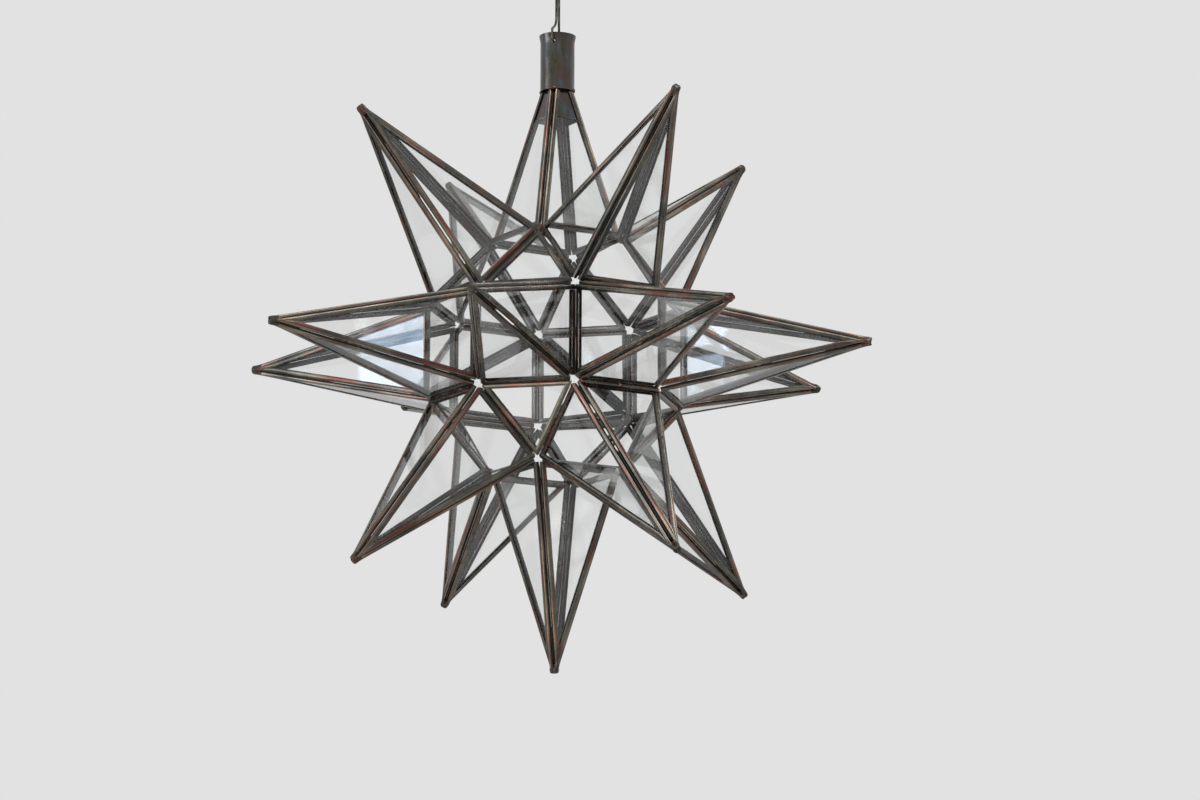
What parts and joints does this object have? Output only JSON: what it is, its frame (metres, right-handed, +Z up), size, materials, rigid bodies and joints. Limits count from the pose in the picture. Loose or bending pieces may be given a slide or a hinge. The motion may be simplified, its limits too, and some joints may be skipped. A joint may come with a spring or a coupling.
{
  "type": "moravian star pendant",
  "caption": "Faceted glass star of framed pyramid points under a flared neck tube with a lampholder, hung by bent wire from a ceiling hook; one lower point is a hinged door",
  "frame": {"origin": "centre of the ceiling plate's top face, where it meets the ceiling", "axes": "+Z up to the ceiling along the star's axis; -Y the front, in line with one middle point and with the wire's crossing in the neck; +X the right"},
  "size_m": [0.5008, 0.5008, 0.586],
  "materials": {
    "came_metal": "dark brown-black patina over folded sheet, rubbed to copper on the high spots",
    "pane_glass": "clear float glass, faint grey-green, polished",
    "solder": "lumpy solder under dark patina",
    "neck_metal": "dark patina on rolled sheet, mottled brown and olive",
    "copper_wire": "copper wire, partly darkened",
    "hanging_steel": "annealed steel wire, darkened grey-brown",
    "fitting_steel": "zinc-plated",
    "holder_plastic": "black moulded thermoset",
    "contact_brass": "bright stamped brass",
    "ceiling_metal": "dark patina on turned plate"
  },
  "bodies": {
    "ceiling_fitting": {"ceiling_plate": "ceiling_metal", "ceiling_hook": "hanging_steel"},
    "hanger": {"hanging_wire": "hanging_steel", "wire_binding": "copper_wire"},
    "star": {"back_left_point_frame": "came_metal", "back_left_point_glass": "pane_glass", "back_point_frame": "came_metal", "back_point_glass": "pane_glass", "back_right_point_frame": "came_metal", "back_right_point_glass": "pane_glass", "bottom_point_frame": "came_metal", "bottom_point_glass": "pane_glass", "centre_contact": "contact_brass", "flat_pane_frames": "came_metal", "flat_pane_glass": "pane_glass", "frame_hinge_tubes": "came_metal", "front_left_point_frame": "came_metal", "front_left_point_glass": "pane_glass", "front_point_frame": "came_metal", "front_point_glass": "pane_glass", "front_right_point_frame": "came_metal", "front_right_point_glass": "pane_glass", "hinge_pin": "copper_wire", "holder_nipple": "fitting_steel", "holder_nut": "fitting_steel", "holder_strap": "fitting_steel", "lamp_screw_shell": "contact_brass", "lampholder_cap": "holder_plastic", "lampholder_core": "holder_plastic", "lampholder_sleeve": "holder_plastic", "left_point_frame": "came_metal", "left_point_glass": "pane_glass", "lower_back_left_point_frame": "came_metal", "lower_back_left_point_glass": "pane_glass", "lower_back_right_point_frame": "came_metal", "lower_back_right_point_glass": "pane_glass", "lower_front_left_point_frame": "came_metal", "lower_front_left_point_glass": "pane_glass", "neck_collar": "neck_metal", "neck_solder": "solder", "neck_tube": "neck_metal", "right_point_frame": "came_metal", "right_point_glass": "pane_glass", "terminal_screws": "contact_brass", "tip_caps": "solder", "top_point_frame": "came_metal", "top_point_glass": "pane_glass", "upper_back_left_point_frame": "came_metal", "upper_back_left_point_glass": "pane_glass", "upper_back_right_point_frame": "came_metal", "upper_back_right_point_glass": "pane_glass", "upper_front_left_point_frame": "came_metal", "upper_front_left_point_glass": "pane_glass", "upper_front_right_point_frame": "came_metal", "upper_front_right_point_glass": "pane_glass", "vertex_solder": "solder"},
    "door": {"door_point_frame": "came_metal", "door_point_glass": "pane_glass", "door_tip_cap": "solder", "door_hinge_tubes": "came_metal"}
  },
  "joints": [
    {"name": "hook_swing", "type": "hinge", "parent": "ceiling_fitting", "child": "hanger", "pos_m": [0, 0, -0.021], "axis": [1, 0, 0], "range_deg": [-25, 25]},
    {"name": "bail_swing", "type": "hinge", "parent": "hanger", "child": "star", "pos_m": [0, 0, -0.0833], "axis": [0, 1, 0], "range_deg": [-20, 20]},
    {"name": "door_hinge", "type": "hinge", "parent": "star", "child": "door", "pos_m": [0.06763, -0.06763, -0.37521], "axis": [-0.7071, -0.7071, 0], "range_deg": [0, 65]}
  ]
}
